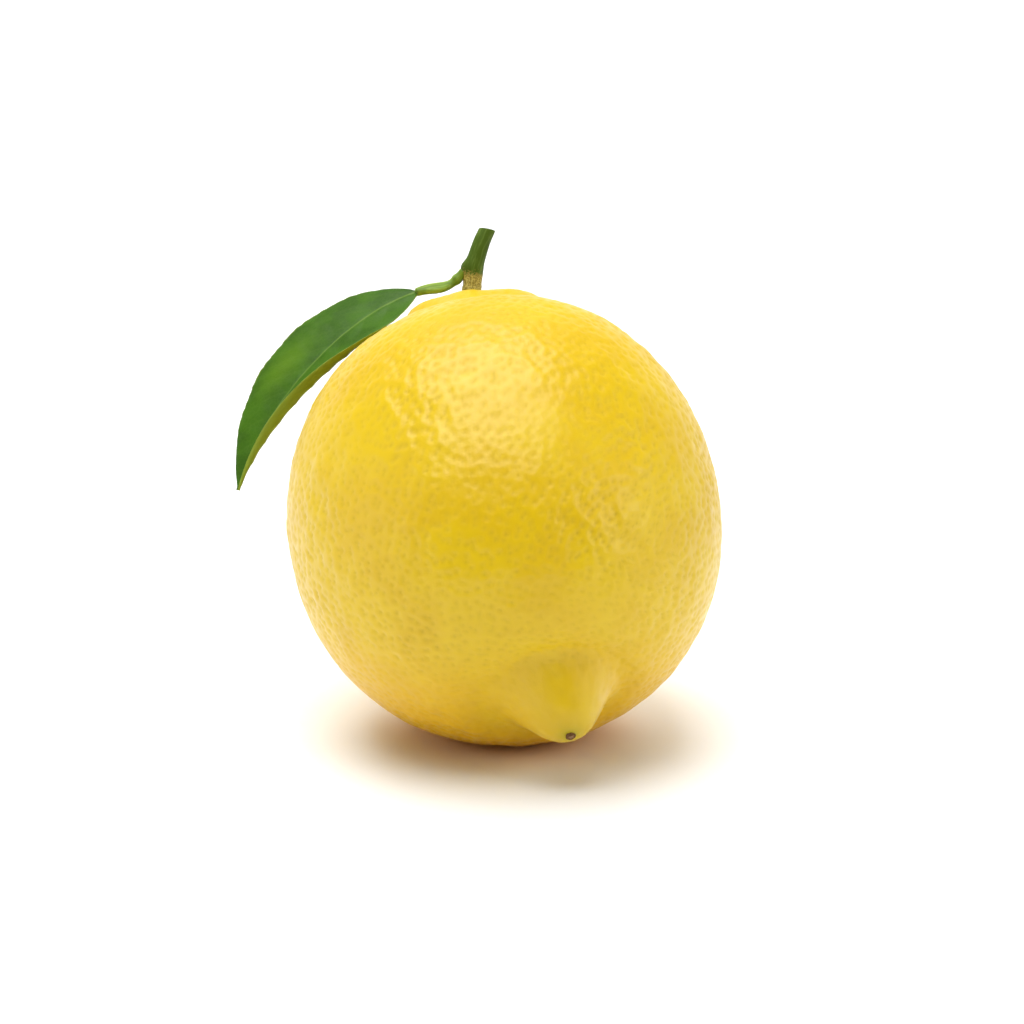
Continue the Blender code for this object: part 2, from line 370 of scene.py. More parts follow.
@dataclass(frozen=True)
class WaxedRind:
    """Ripe lemon rind under its natural wax: a broad soft gloss that breaks up over the glands."""

    body: str = "#d8b60a"
    deep: str = "#d4af06"
    ripe: str = "#e0aa04"
    # Painted warm bounce light: the more orange tint of the rind towards the table.
    dot: str = "#b0900c"
    green: str = "#a89a10"
    # Pale round the stem seat: partly the rind's own paler tone, partly a painted reflection.
    pale: str = "#e2cb5c"
    patch: float = 11 * MM
    grain: float = 0.45 * MM

    def material(self) -> bpy.types.Material:
        """Build the rind: yellow in soft patches, deeper gland dots, green at the tip, a painted warm bounce
        towards the table and a pale seat that is partly painted reflection.

        Returns:
            The material.
        """
        # The wax gives a soft wide highlight, and the flesh-white pith behind it a slight glow.
        material, tree, shader = new_material(
            "lemon_rind_waxed",
            IOR=1.46,
            Specular_IOR_Level=0.36,
            Subsurface_Weight=0.05,
            Subsurface_Radius=(1.0, 0.62, 0.12),
            Subsurface_Scale=1.2 * MM,
            Coat_Weight=0.24,
            Coat_Roughness=0.3,
            Coat_IOR=1.44,
        )
        mark = {
            name: add_node(tree, "Attribute", attribute_name=name).outputs["Fac"]
            for name in ("grain", "gland", "ripe", "tip", "seat", "hollow")
        }
        place = add_node(tree, "TexCoord").outputs["Object"]
        noise = {"Vector": place, "Scale": 1 / self.patch, "Detail": 3.0}
        patches = add_node(tree, "TexNoise", noise).outputs["Fac"]
        spread = {"Value": patches, "From Min": 0.38, "From Max": 0.66}
        patch_share = add_node(tree, "MapRange", spread, **SMOOTH).outputs[0]
        dots = add_node(tree, "Math", {0: mark["gland"], 1: mark["grain"]}, operation="MULTIPLY")
        colour = linear(self.body)
        for share, over in (
            (patch_share, self.deep),
            (dots.outputs[0], self.dot),
            # painted warm bounce light and shade on the underside
            (mark["ripe"], self.ripe),
            (mark["tip"], self.green),
            # pale seat: partly the rind's own tone, partly a painted reflection
            (mark["seat"], self.pale),
        ):
            layer = {MIX_SHARE: share, MIX_FIRST: colour, MIX_SECOND: linear(over)}
            colour = add_node(tree, "Mix", layer, **COLOURS).outputs[MIX_COLOUR]

        noise = {"Vector": place, "Scale": 1 / self.grain, "Detail": 2.0}
        fine = add_node(tree, "TexNoise", noise).outputs["Fac"]
        skin = add_node(tree, "Bump", {"Height": fine, "Strength": 0.7, "Distance": 0.04 * MM})
        spread = {"Value": patches, "From Min": 0.3, "From Max": 0.7, "To Min": 0.3, "To Max": 0.38}
        dullness = add_node(tree, "MapRange", spread).outputs[0]
        # The wax is thin in the hollows, so the highlight goes dull there.
        thinned = {0: mark["hollow"], 1: 0.35, 2: dullness}
        roughness = add_node(tree, "Math", thinned, operation="MULTIPLY_ADD").outputs[0]
        ends = {"Base Color": colour, "Normal": skin.outputs["Normal"], "Roughness": roughness}
        connect(tree, shader, ends)
        return material


@dataclass(frozen=True)
class DriedStyle:
    """The shrivelled style: dark brown cork, dull, with a paler broken heart."""

    dark: str = "#5e3d1c"
    heart: str = "#b08f6a"
    fibre: float = 0.16 * MM

    def material(self) -> bpy.types.Material:
        """Build the dried style's dull speckled brown.

        Returns:
            The material.
        """
        # Dead dry tissue: no shine, only pale specks towards its broken heart.
        material, tree, shader = new_material(
            "dried_style_cork", Roughness=0.85, IOR=1.45, Specular_IOR_Level=0.15
        )
        place = add_node(tree, "TexCoord").outputs["Object"]
        noise = {"Vector": place, "Scale": 1 / self.fibre, "Detail": 3.0}
        specks = add_node(tree, "TexNoise", noise).outputs["Fac"]
        heart = add_node(tree, "Attribute", attribute_name="heart").outputs["Fac"]
        share = add_node(tree, "Math", {0: specks, 1: heart}, operation="ADD").outputs[0]
        layer = {MIX_SHARE: share, MIX_FIRST: linear(self.dark), MIX_SECOND: linear(self.heart)}
        mixed = add_node(tree, "Mix", layer, **COLOURS).outputs[MIX_COLOUR]
        bump = add_node(tree, "Bump", {"Height": specks, "Strength": 0.8, "Distance": 0.08 * MM})
        connect(tree, shader, {"Base Color": mixed, "Normal": bump.outputs["Normal"]})
        return material


@dataclass(frozen=True)
class CorkyButton:
    """The calyx button: green tissue gone corky, matt, in pale olive with brown edges."""

    olive: str = "#a3a04a"
    brown: str = "#7f7136"
    speck: float = 0.45 * MM

    def material(self) -> bpy.types.Material:
        """Build the button's matt speckled olive.

        Returns:
            The material.
        """
        # Cork grown over green tissue: matt, with brown specks in the olive.
        material, tree, shader = new_material("calyx_cork_matt", Roughness=0.8, IOR=1.45)
        place = add_node(tree, "TexCoord").outputs["Object"]
        noise = {"Vector": place, "Scale": 1 / self.speck, "Detail": 4.0}
        specks = add_node(tree, "TexNoise", noise).outputs["Fac"]
        spread = {"Value": specks, "From Min": 0.42, "From Max": 0.62}
        share = add_node(tree, "MapRange", spread, **SMOOTH).outputs[0]
        layer = {MIX_SHARE: share, MIX_FIRST: linear(self.olive), MIX_SECOND: linear(self.brown)}
        mixed = add_node(tree, "Mix", layer, **COLOURS).outputs[MIX_COLOUR]
        bump = add_node(tree, "Bump", {"Height": specks, "Strength": 0.7, "Distance": 0.15 * MM})
        connect(tree, shader, {"Base Color": mixed, "Normal": bump.outputs["Normal"]})
        return material


@dataclass(frozen=True)
class YoungBark:
    """Young citrus bark: smooth green with lighter streaks, over a rough cork foot."""

    green: str = "#455c16"
    light: str = "#5f7630"
    cork: str = "#bfb060"
    crack: str = "#8b7d3c"
    wood: str = "#5c7431"
    streak: float = 0.5 * MM
    streak_draw: float = 0.16
    speck: float = 0.24 * MM

    def material(self) -> bpy.types.Material:
        """Build the bark: streaks along the stalk, specks on its foot, wood at its cut.

        Returns:
            The material.
        """
        # Live bark is smooth and faintly satin, and its cork foot is rough enough to look matt.
        material, tree, shader = new_material(
            "citrus_bark_green", Roughness=0.55, IOR=1.45, Specular_IOR_Level=0.12
        )
        bark = add_node(tree, "Attribute", attribute_name="bark").outputs["Vector"]
        cork, cut = (
            add_node(tree, "Attribute", attribute_name=name).outputs["Fac"] for name in ("cork", "cut")
        )
        stretch = {"Vector": bark, "Scale": (1.0, 1.0, self.streak_draw)}
        drawn_out = add_node(tree, "Mapping", stretch).outputs[0]
        noise = {"Vector": drawn_out, "Scale": 1 / self.streak, "Detail": 3.0}
        streaks = add_node(tree, "TexNoise", noise).outputs["Fac"]
        noise = {"Vector": bark, "Scale": 1 / self.speck, "Detail": 3.0}
        specks = add_node(tree, "TexNoise", noise).outputs["Fac"]
        # The specks also fray the edge between cork and green.
        ragged = add_node(tree, "Math", {0: specks, 1: 1.6, 2: -0.8}, operation="MULTIPLY_ADD")
        edge = add_node(tree, "Math", {0: cork, 1: ragged.outputs[0]}, operation="ADD").outputs[0]
        streak_share, speck_share, cork_share = (
            add_node(
                tree, "MapRange", {"Value": value, "From Min": low, "From Max": high}, **SMOOTH
            ).outputs[0]
            for value, low, high in ((streaks, 0.45, 0.7), (specks, 0.44, 0.56), (edge, 0.4, 0.6))
        )
        skin, foot = (
            add_node(
                tree, "Mix", {MIX_SHARE: share, MIX_FIRST: linear(one), MIX_SECOND: linear(two)}, **COLOURS
            ).outputs[MIX_COLOUR]
            for share, one, two in (
                (streak_share, self.green, self.light),
                (speck_share, self.cork, self.crack),
            )
        )
        colour = skin
        for share, over in ((cork_share, foot), (cut, linear(self.wood))):
            layer = {MIX_SHARE: share, MIX_FIRST: colour, MIX_SECOND: over}
            colour = add_node(tree, "Mix", layer, **COLOURS).outputs[MIX_COLOUR]
        height = add_node(tree, "Mix", {MIX_SHARE: cork_share, 2: streaks, 3: specks}, data_type="FLOAT")
        relief = {"Height": height.outputs[0], "Strength": 0.7, "Distance": 0.12 * MM}
        bump = add_node(tree, "Bump", relief)
        connect(tree, shader, {"Base Color": colour, "Normal": bump.outputs["Normal"]})
        return material


@dataclass(frozen=True)
class LeafStalkSkin:
    """The leaf stalk's tender skin: light yellow-green, satin, with fine lines along it."""

    light: str = "#8ea636"
    dark: str = "#5c7a1e"
    line: float = 0.35 * MM
    line_draw: float = 0.1

    def material(self) -> bpy.types.Material:
        """Build the leaf stalk's lined yellow-green.

        Returns:
            The material.
        """
        # Young green tissue under a thin cuticle: satin, palest along its wings and ridge.
        material, tree, shader = new_material(
            "leaf_stalk_satin", Roughness=0.5, IOR=1.45, Specular_IOR_Level=0.3
        )
        bark = add_node(tree, "Attribute", attribute_name="bark").outputs["Vector"]
        stretch = {"Vector": bark, "Scale": (1.0, 1.0, self.line_draw)}
        drawn_out = add_node(tree, "Mapping", stretch).outputs[0]
        noise = {"Vector": drawn_out, "Scale": 1 / self.line, "Detail": 2.0}
        lines = add_node(tree, "TexNoise", noise).outputs["Fac"]
        ridge = add_node(tree, "Attribute", attribute_name="ridge").outputs["Fac"]
        lit = add_node(tree, "Math", {0: lines, 1: 0.8, 2: ridge}, operation="MULTIPLY_ADD")
        spread = {"Value": lit.outputs[0], "From Min": 0.25, "From Max": 0.8}
        share = add_node(tree, "MapRange", spread, **SMOOTH).outputs[0]
        layer = {MIX_SHARE: share, MIX_FIRST: linear(self.dark), MIX_SECOND: linear(self.light)}
        mixed = add_node(tree, "Mix", layer, **COLOURS).outputs[MIX_COLOUR]
        bump = add_node(tree, "Bump", {"Height": lines, "Strength": 0.5, "Distance": 0.06 * MM})
        connect(tree, shader, {"Base Color": mixed, "Normal": bump.outputs["Normal"]})
        return material


@dataclass(frozen=True)
class LeafCuticle:
    """A citrus leaf: a waxy deep green upper face, a duller yellow-green underside, pale veins."""

    upper: str = "#3c640a"
    upper_dark: str = "#325707"
    blotch: str = "#587c08"
    under: str = "#82942e"
    vein: str = "#74913a"
    rim: str = "#87953a"
    patch: float = 6 * MM
    net: float = 0.7 * MM

    def material(self) -> bpy.types.Material:
        """Build the leaf: two faces, midrib and side veins, blotches and a fine net.

        Returns:
            The material.
        """
        # The cuticle is a thin wax, so the upper face has a satin sheen that greys it from the side.
        material, tree, shader = new_material("citrus_leaf_cuticle", IOR=1.47, Specular_IOR_Level=0.16)
        blade = add_node(tree, "Attribute", attribute_name="blade").outputs["Vector"]
        mark = {
            name: add_node(tree, "Attribute", attribute_name=name).outputs["Fac"]
            for name in ("upper", "blotch", "vein", "rim")
        }
        noise = {"Vector": blade, "Scale": 1 / self.patch, "Detail": 4.0}
        patches = add_node(tree, "TexNoise", noise).outputs["Fac"]
        spread = {"Value": patches, "From Min": 0.4, "From Max": 0.6, "To Min": 1.0, "To Max": 0.0}
        dark_share = add_node(tree, "MapRange", spread, **SMOOTH).outputs[0]
        net = {"Vector": blade, "Scale": 1 / self.net}
        cells = add_node(tree, "TexVoronoi", net, feature="DISTANCE_TO_EDGE").outputs["Distance"]
        # The real net of veinlets is finer than this and would not show.
        spread = {"Value": cells, "From Min": 0.0, "From Max": 0.12, "To Min": 0.07, "To Max": 0.0}
        net_share = add_node(tree, "MapRange", spread).outputs[0]
        colour = linear(self.upper)
        for share, over in ((dark_share, self.upper_dark), (mark["blotch"], self.blotch)):
            layer = {MIX_SHARE: share, MIX_FIRST: colour, MIX_SECOND: linear(over)}
            colour = add_node(tree, "Mix", layer, **COLOURS).outputs[MIX_COLOUR]
        faces = {MIX_SHARE: mark["upper"], MIX_FIRST: linear(self.under), MIX_SECOND: colour}
        colour = add_node(tree, "Mix", faces, **COLOURS).outputs[MIX_COLOUR]
        for share, over in ((net_share, self.vein), (mark["vein"], self.vein), (mark["rim"], self.rim)):
            layer = {MIX_SHARE: share, MIX_FIRST: colour, MIX_SECOND: linear(over)}
            colour = add_node(tree, "Mix", layer, **COLOURS).outputs[MIX_COLOUR]
        spread = {"Value": mark["upper"], "To Min": 0.62, "To Max": 0.42}
        dullness = add_node(tree, "MapRange", spread).outputs[0]
        bump = add_node(tree, "Bump", {"Height": cells, "Strength": 0.5, "Distance": 0.06 * MM})
        ends = {"Base Color": colour, "Roughness": dullness, "Normal": bump.outputs["Normal"]}
        connect(tree, shader, ends)
        return material


# --------------------------------------------------------------------------- pieces


@dataclass(frozen=True)
class FruitForm:
    """The fruit's own shape and where it stands.

    Its own frame has +Z from the middle of the fruit towards the stem end and -Y up and forwards.
    """

    centre: Place = (-0.6, 2.1, 31.7)  # in mm
    pitch: float = math.radians(38.0)
    heading: float = math.radians(13.0)
    radius: float = 31.9 * MM
    stem_end: float = 34.3 * MM
    blossom_end: float = 34.4 * MM
    fullness: float = 0.955
    blossom_bend: float = 2.0 * MM
    neck_height: float = 4.35 * MM
    neck_radius: float = 11.05 * MM
    neck_wider_side: float = 0.29
    neck_softness: float = 1.28 * MM
    neck_steeper_sides: float = 0.5
    neck_furrows: int = 7
    neck_furrow_depth: float = 0.06
    neck_bend_reach: float = 14.0 * MM
    neck_bend: float = 4.4 * MM
    neck_side: float = 1.1 * MM
    neck_tilt: float = math.radians(24.0)
    seat_radius: float = 6.2 * MM
    seat_depth: float = 1.3 * MM
    nipple_height: float = 5.4 * MM
    nipple_radius: float = 6.05 * MM
    nipple_bluntness: float = 2.8
    nipple_side: float = 2.1 * MM
    nipple_up: float = 0.5 * MM
    nipple_side_reach: float = 12.4 * MM
    hollow_depth: float = 1.3 * MM
    hollow_radius: float = 9.6 * MM
    hollow_width: float = 3.3 * MM

    def matrix(self) -> Matrix:
        """The turn and place that take the fruit's own frame to the world's."""
        lean = Matrix.Rotation(self.heading, 4, "Z") @ Matrix.Rotation(self.pitch - math.pi / 2, 4, "X")
        return Matrix.Translation(Vector(self.centre) * MM) @ lean

    def to_world(self, points: np.ndarray) -> np.ndarray:
        """Carry points from the fruit's own frame to the world's."""
        matrix = np.array(self.matrix())
        return points @ matrix[:3, :3].T + matrix[:3, 3]

    def neck_lift(self, radius: np.ndarray, turn: np.ndarray) -> np.ndarray:
        """Height of the neck: a furrowed shoulder that falls as a logistic curve, sunk at its seat.

        The shoulder is steeper at both sides and reaches further out on one of them.
        """
        sideways = np.cos(turn)
        wider = self.neck_wider_side * np.maximum(sideways, 0.0)
        edge = self.neck_radius * (1 + self.neck_furrow_depth * np.cos(self.neck_furrows * turn) + wider)
        softness = self.neck_softness * (1 - self.neck_steeper_sides * np.abs(sideways))
        shoulder = self.neck_height / (1 + np.exp((radius - edge) / softness))
        return shoulder - self.seat_depth * np.exp(-((radius / self.seat_radius) ** 6))

    def nipple_reach(self, radius: np.ndarray) -> np.ndarray:
        """Reach of the nipple: a blunt bell curve, less a ring-shaped hollow round its foot."""
        dome = self.nipple_height * np.exp(-((radius / self.nipple_radius) ** self.nipple_bluntness))
        return dome - self.hollow_depth * np.exp(-(((radius - self.hollow_radius) / self.hollow_width) ** 2))

    def surface(self, polar: np.ndarray, turn: np.ndarray) -> np.ndarray:
        """Points of the rind in the fruit's own frame.

        Formula: a slightly squared ellipsoid, with the neck and the nipple added along its axis,
        the neck bent upwards, the blossom end bent a little upwards and the nipple to one side.

        Args:
            polar: Angle from the stem end.
            turn: Angle round the fruit's axis.

        Returns:
            The points, in metres.
        """
        radius = self.radius * np.abs(np.sin(polar)) ** self.fullness
        level = np.sign(np.cos(polar)) * np.abs(np.cos(polar)) ** self.fullness
        x, y = radius * np.cos(turn), radius * np.sin(turn)
        bent = np.exp(-((radius / self.neck_bend_reach) ** 2))
        tilt = math.tan(self.neck_tilt) * y * bent
        stem_end = self.stem_end * level + self.neck_lift(radius, turn) + tilt
        blossom_end = self.blossom_end * level - self.nipple_reach(radius)
        pushed = np.exp(-((radius / self.nipple_side_reach) ** 2))
        blossom_bend = self.blossom_bend * level**2 + self.nipple_up * pushed
        bend = np.where(level > 0, self.neck_bend * bent, blossom_bend)
        side = np.where(level > 0, self.neck_side * bent, self.nipple_side * pushed)
        return np.stack([x + side, y - bend, np.where(level > 0, stem_end, blossom_end)], axis=-1)

    def end(self, polar: float) -> np.ndarray:
        """The point of the rind on the fruit's axis, at the end with that polar angle."""
        turn = around(60)
        return self.surface(np.full_like(turn, polar), turn).mean(axis=0)


def ball_grid(count: int) -> tuple[np.ndarray, np.ndarray]:
    """Spread directions evenly over a ball, and join them with quads.

    Formula: a square grid on each side of a cube, its lines at even angles seen from the middle,
    pushed out to the ball. Sides share their edges by their whole-number places on the cube.

    Args:
        count: Quads along one side of the cube.

    Returns:
        The unit directions, and the quads.
    """
    a, b = np.meshgrid(np.arange(count + 1), np.arange(count + 1), indexing="ij")
    sides = np.empty((6, count + 1, count + 1, 3), int)
    for side in range(6):
        axis, far = side % 3, side // 3
        first, second = (axis + 1) % 3, (axis + 2) % 3
        sides[side, ..., axis] = count * far
        sides[side, ..., first], sides[side, ..., second] = (a, b) if far else (b, a)
    base = count + 1
    codes, where = np.unique(sides @ np.array([base * base, base, 1]), return_inverse=True)
    where = where.reshape(6, base, base)
    quads = np.stack([where[:, :-1, :-1], where[:, 1:, :-1], where[:, 1:, 1:], where[:, :-1, 1:]], axis=-1)
    places = np.stack([codes // (base * base), codes // base % base, codes % base], axis=-1)
    return unit(np.tan((places / count - 0.5) * math.pi / 2)), quads.reshape(-1, 4)


@dataclass
class Fruit:
    """The fruit: one skin with its glands pressed in, resting on a small flat spot."""

    form: FruitForm
    glands: GlandPattern
    grid: int = 127
    rest_softness: float = 0.3 * MM
    gland_depth: float = 0.24 * MM
    swell_depth: float = 0.12 * MM
    swell_size: float = 2.4 * MM
    smooth_nipple: tuple[float, float] = (6 * MM, 13 * MM)
    smooth_neck: tuple[float, float] = (9 * MM, 16 * MM)
    ripe_below: float = 24 * MM
    slot: str = "peel"

    def rest(self, points: np.ndarray) -> np.ndarray:
        """Settle the underside on the table: z becomes half of z plus the root of z^2 + softness^2."""
        level = points[:, 2]
        settled = 0.5 * (level + np.sqrt(level**2 + self.rest_softness**2))
        return np.column_stack([points[:, :2], settled])

    def build(self) -> bpy.types.Object:
        """Build the skin, then press the glands and low swells into it along its normals.

        Returns:
            The piece.
        """
        directions, quads = ball_grid(self.grid)
        polar = np.arccos(np.clip(directions[:, 2], -1.0, 1.0))
        turn = np.arctan2(directions[:, 1], directions[:, 0])
        own = self.form.surface(polar, turn)
        points = self.form.to_world(own)
        piece = new_piece("fruit", points, quads, np.empty((0, 3), int))
        mesh = piece.data
        normals = read_vectors(mesh.vertex_normals, "vector", len(points))

        radius = np.hypot(own[:, 0], own[:, 1])
        at_nipple = np.where(own[:, 2] < 0, 1 - smooth_step(*self.smooth_nipple, radius), 0.0)
        at_neck = np.where(own[:, 2] > 0, 1 - smooth_step(*self.smooth_neck, radius), 0.0)
        grain = (1 - 0.75 * at_nipple) * (1 - 0.4 * at_neck)
        grain = grain * (0.85 + 0.15 * uneven(points, 9 * MM, seed=5))
        hollows, dots = self.glands.hollows(directions)
        swell = 0.5 + 0.5 * uneven(points, self.swell_size, seed=11)
        depth = grain * (self.gland_depth * hollows + self.swell_depth * swell)
        pressed = self.rest(points - normals * depth[:, None])
        mesh.vertices.foreach_set("co", pressed.astype(np.float32).ravel())
        mesh.update()

        tip = self.form.end(math.pi)
        away = np.linalg.norm(own - tip, axis=-1)
        tip_mark = 0.75 * np.exp(-((away / (1.7 * MM)) ** 2)) + 0.22 * np.exp(-((away / (5 * MM)) ** 2))
        # Painted warm bounce light and shade: the rind turns more orange the lower it lies, less so on the
        # nipple.
        low = 1 - smooth_step(2 * MM, self.ripe_below, points[:, 2])
        ripe_mark = 0.65 * low * (1 - 0.8 * at_nipple)
        # Pale round the stem seat: partly the rind's own paler tone, partly a painted reflection.
        seat_pale_and_sheen = 0.75 * at_neck * (1 - smooth_step(0.0, 12 * MM, radius))
        store(piece, tip=tip_mark, seat=seat_pale_and_sheen, ripe=ripe_mark)
        store(piece, grain=grain, gland=0.45 * dots, hollow=hollows)
        return piece

    def dress(self, piece: bpy.types.Object) -> None:
        """Give the fruit its waxed rind."""
        finish_piece(piece, WaxedRind().material())


@dataclass
class StyleScar:
    """The dried style: a small worn stub on the tip of the nipple."""

    form: FruitForm
    radius: float = 0.7 * MM
    height: float = 0.4 * MM
    sunk: float = 0.25 * MM
    profile_points: int = 22
    segments: int = 56
    slot: str = "style_scar"

    def build(self) -> bpy.types.Object:
        """Build the stub: a side that tapers to a ragged rim, and a dished end.

        Formula: over a profile parameter p, the radius is a rounded taper up to the rim at 0.6 and
        then falls to the middle, and the height rises to the rim and dips by a third inside it.

        Returns:
            The piece.
        """
        p = np.linspace(0.0, 1.0, self.profile_points)[:, None]
        turn = around(self.segments)[None, :]
        side = np.clip(p / 0.6, 0.0, 1.0)
        inward = np.clip((p - 0.6) / 0.4, 0.0, 1.0)
        ragged = 1 + 0.07 * np.cos(5 * turn + 0.6) + 0.05 * np.cos(9 * turn + 2.0)
        wide = self.radius * ragged * (1 - 0.28 * side**2) * (1 - 0.96 * inward)
        tall = -self.sunk + (self.height + self.sunk) * np.sin(side * math.pi / 2)
        tall = tall * (1 + 0.08 * np.cos(4 * turn) * side) - 0.22 * MM * np.sin(inward * math.pi / 2)
        seat = self.form.end(math.pi)
        rings = np.stack([wide * np.cos(turn), wide * np.sin(turn), -tall + 0 * turn], axis=-1) + seat
        points = self.form.to_world(skin_points(rings))
        piece = new_piece("style_scar", points, *ring_faces(self.profile_points, self.segments))
        store(piece, heart=skin_marks(0.6 * smooth_step(0.1, 0.7, inward) - 0.35 + 0 * turn))
        return piece

    def dress(self, piece: bpy.types.Object) -> None:
        """Give the stub its dried cork."""
        finish_piece(piece, DriedStyle().material())


@dataclass
class Calyx:
    """The calyx button under the stalk: a low worn disc with five lobes."""

    form: FruitForm
    radius: float = 3.9 * MM
    height: float = 1.0 * MM
    lobes: int = 5
    lobe_depth: float = 0.16
    sunk: float = 0.3 * MM
    lean: float = math.radians(22.0)
    profile_points: int = 40
    segments: int = 160
    slot: str = "calyx"

    def build(self) -> bpy.types.Object:
        """Build the button: a rounded rim cut into lobes, rising a little to the stalk.

        Formula: over a profile parameter p, the radius goes out and round the rim and back in to
        the middle, and the height follows a flat arch; wrinkles run out along the lobes.

        Returns:
            The piece.
        """
        p = np.linspace(0.0, 1.0, self.profile_points)[:, None]
        turn = around(self.segments)[None, :]
        lobe = 1 + self.lobe_depth * np.cos(self.lobes * turn) + 0.05 * np.cos(3 * turn + 1.0)
        rim = np.clip(p / 0.3, 0.0, 1.0)
        inward = np.clip((p - 0.3) / 0.7, 0.0, 1.0)
        wide = self.radius * lobe * (0.9 + 0.1 * np.sin(rim * math.pi)) * (1 - 0.97 * inward)
        arch = 0.45 * np.sin(rim * math.pi / 2) + 0.5 * smooth_step(0.0, 0.75, inward)
        tall = self.height * arch - self.sunk
        creases = 0.06 * MM * np.cos(17 * turn + 4 * inward) * np.sin(np.clip(inward * 1.4, 0, 1) * math.pi)
        x, y = wide * np.cos(turn), wide * np.sin(turn)
        rings = np.stack([x, y, tall + creases + math.tan(self.lean) * y], axis=-1)
        world = self.form.to_world(skin_points(rings + self.form.end(0.0)))
        world = world + 0.06 * MM * uneven(world, 0.9 * MM, seed=21)[:, None] * np.array([0.0, 0.3, 1.0])
        return new_piece("calyx", world, *ring_faces(self.profile_points, self.segments))

    def dress(self, piece: bpy.types.Object) -> None:
        """Give the button its matt cork."""
        finish_piece(piece, CorkyButton().material())


@dataclass
class Stem:
    """The woody stalk: cork foot, swelling under the leaf stalk, green bark and a clean cut."""

    form: FruitForm
    controls: tuple[Place, ...] = ((-4.95, 26.9, 27.4), (-4.9, 27.6, 33.0), (-2.7, 29.7, 37.2))
    radius: float = 1.45 * MM
    stations: int = 190
    cap_stations: int = 15
    segments: int = 96
    foot_flare: float = 0.1
    knee_place: float = 0.38
    knee_flare: float = 0.05
    shoulder_place: float = 0.41
    shoulder_flare: float = 0.5
    flare_reach: float = 0.12
    taper: float = 0.14
    cut_facing: Place = (0.18, 0.35, 0.92)
    cut_turn_start: float = 0.6
    rim: float = 0.28 * MM
    slot: str = "stem"

    def build(self) -> bpy.types.Object:
        """Build the stalk as round sections carried along its route, closed by its cut end.

        Formula: the radius is even but for bell-shaped flares at the foot and at the knee, the knee
        leaning towards the leaf; the last sections shrink to the middle round a soft rim.

        Returns:
            The piece.
        """
        share = np.linspace(0.0, 1.0, self.stations)
        cap = np.linspace(0.0, 1.0, self.cap_stations + 1)[1:]
        points, direction = Route(self.controls, self.form.centre).walk(share)
        across, up = cross_axes(direction, np.array([0.0, 1.0, 0.0]))
        cut = unit(np.array(self.cut_facing))
        # The end cap: sections of the last station that shrink and then lie a little sunk.
        grown = np.concatenate([np.ones(self.stations), np.cos(cap * math.pi / 2)])
        rim_rise = self.rim * np.sin(np.clip(cap / 0.25, 0, 1) * math.pi / 2)
        sunk = 0.12 * MM * smooth_step(0.35, 0.6, cap)
        rise = np.concatenate([np.zeros(self.stations), rim_rise - sunk])
        index = np.concatenate([np.arange(self.stations), np.full(len(cap), self.stations - 1)])
        along = share[index][:, None]
        turn = around(self.segments)[None, :]
        out = across[index][:, None] * np.cos(turn)[..., None] + up[index][:, None] * np.sin(turn)[..., None]

        foot = self.foot_flare * np.exp(-((along / self.flare_reach) ** 2))
        knee = self.knee_flare * np.exp(-(((along - self.knee_place) / self.flare_reach) ** 2))
        leafwards = np.clip(out @ np.array([-0.97, -0.2, 0.0]), 0.0, 1.0) ** 3
        bell = np.exp(-(((along - self.shoulder_place) / self.flare_reach) ** 2))
        shoulder = self.shoulder_flare * bell * leafwards
        radius = self.radius * (1 + foot + knee + shoulder - self.taper * along)
        axis = points[index][:, None]
        rings = axis + out * (radius * grown[:, None])[..., None]
        # Near the top the points slide along the stalk, so that the last sections lie in the cut.
        turned = np.clip((along - self.cut_turn_start) / (1 - self.cut_turn_start), 0.0, 1.0)
        slide = -((rings - axis) @ cut) / (direction[index] @ cut)[:, None] * turned
        rings = rings + direction[index][:, None] * slide[..., None]
        rings = rings + direction[index][:, None] * rise[:, None, None]
        cork = 1 - smooth_step(0.18, 0.5, along + 0 * turn)
        bumps = uneven(rings, 0.55 * MM, seed=31)
        streaks = uneven(rings * np.array([1.0, 1.0, 0.2]), 0.5 * MM, seed=32)
        relief = (0.045 * MM * cork * bumps + 0.014 * MM * (1 - cork) * streaks) * grown[:, None]
        rings = rings + out * relief[..., None]

        length = np.linalg.norm(np.diff(points, axis=0), axis=1).sum()
        level = np.ones_like(along)
        flat = np.stack(
            [
                self.radius * np.cos(turn) * level,
                self.radius * np.sin(turn) * level,
                length * along + 0 * turn,
            ],
            axis=-1,
        )
        cut_mark = (1 - smooth_step(0.75, 0.9, grown))[:, None] + 0 * turn
        piece = new_piece("stem", skin_points(rings), *ring_faces(len(index), self.segments))
        store(piece, bark=skin_points(flat), cork=skin_marks(cork), cut=skin_marks(cut_mark))
        return piece

    def dress(self, piece: bpy.types.Object) -> None:
        """Give the stalk its young bark."""
        finish_piece(piece, YoungBark().material())


